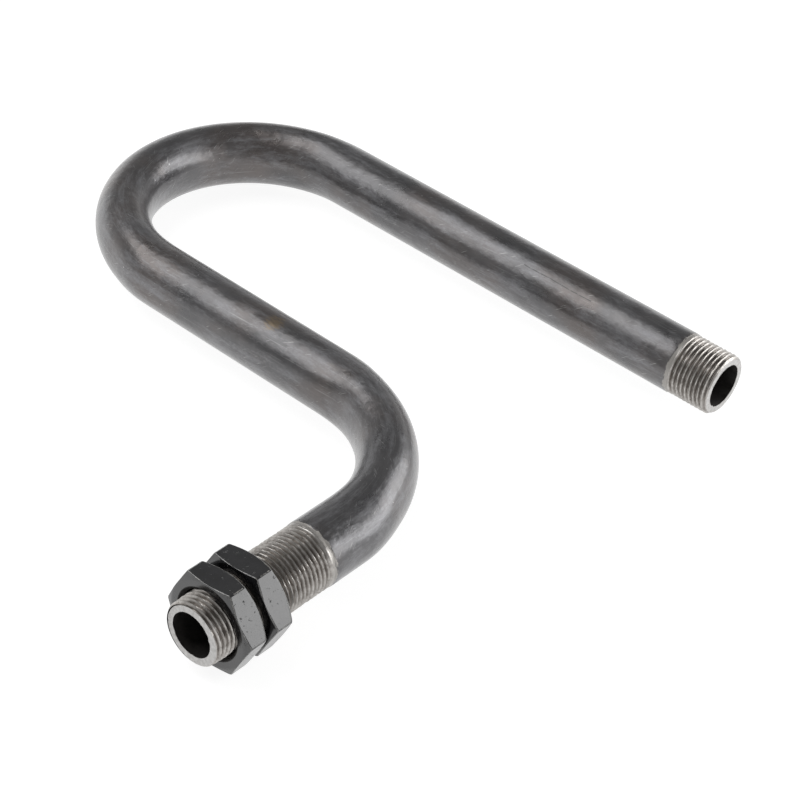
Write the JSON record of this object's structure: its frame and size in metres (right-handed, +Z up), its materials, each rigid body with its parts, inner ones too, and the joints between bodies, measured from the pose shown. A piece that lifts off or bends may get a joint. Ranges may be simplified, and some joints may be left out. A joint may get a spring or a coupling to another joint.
{
  "type": "pressure gauge siphon",
  "caption": "U-form steel pipe siphon that keeps hot steam off a pressure gauge, threaded at both ends, with lock nuts on the process end.",
  "frame": {"origin": "centre of the process end's face, on the process leg's axis", "axes": "+Y from the process end into the pipe, along the process leg; +X along the gauge leg towards the gauge; +Z up, square to the plane that the pipe is bent in"},
  "size_m": [0.217, 0.2124, 0.0292],
  "materials": {
    "pipe_steel": "dark mill scale on the pipe, bright raw metal on threads and end faces",
    "nut_black": "satin black with worn edges"
  },
  "bodies": {
    "pipe": {"siphon_pipe": "pipe_steel"},
    "front_nut": {"front_lock_nut": "nut_black"},
    "rear_nut": {"rear_lock_nut": "nut_black"}
  },
  "joints": [
    {"name": "front_nut_travel", "type": "slide", "parent": "pipe", "child": "front_nut", "axis": [0, 1, 0], "range_m": [-0.00544, 0.00181]},
    {"name": "rear_nut_travel", "type": "slide", "parent": "pipe", "child": "rear_nut", "axis": [0, 1, 0], "range_m": [0, 0.01814]}
  ]
}
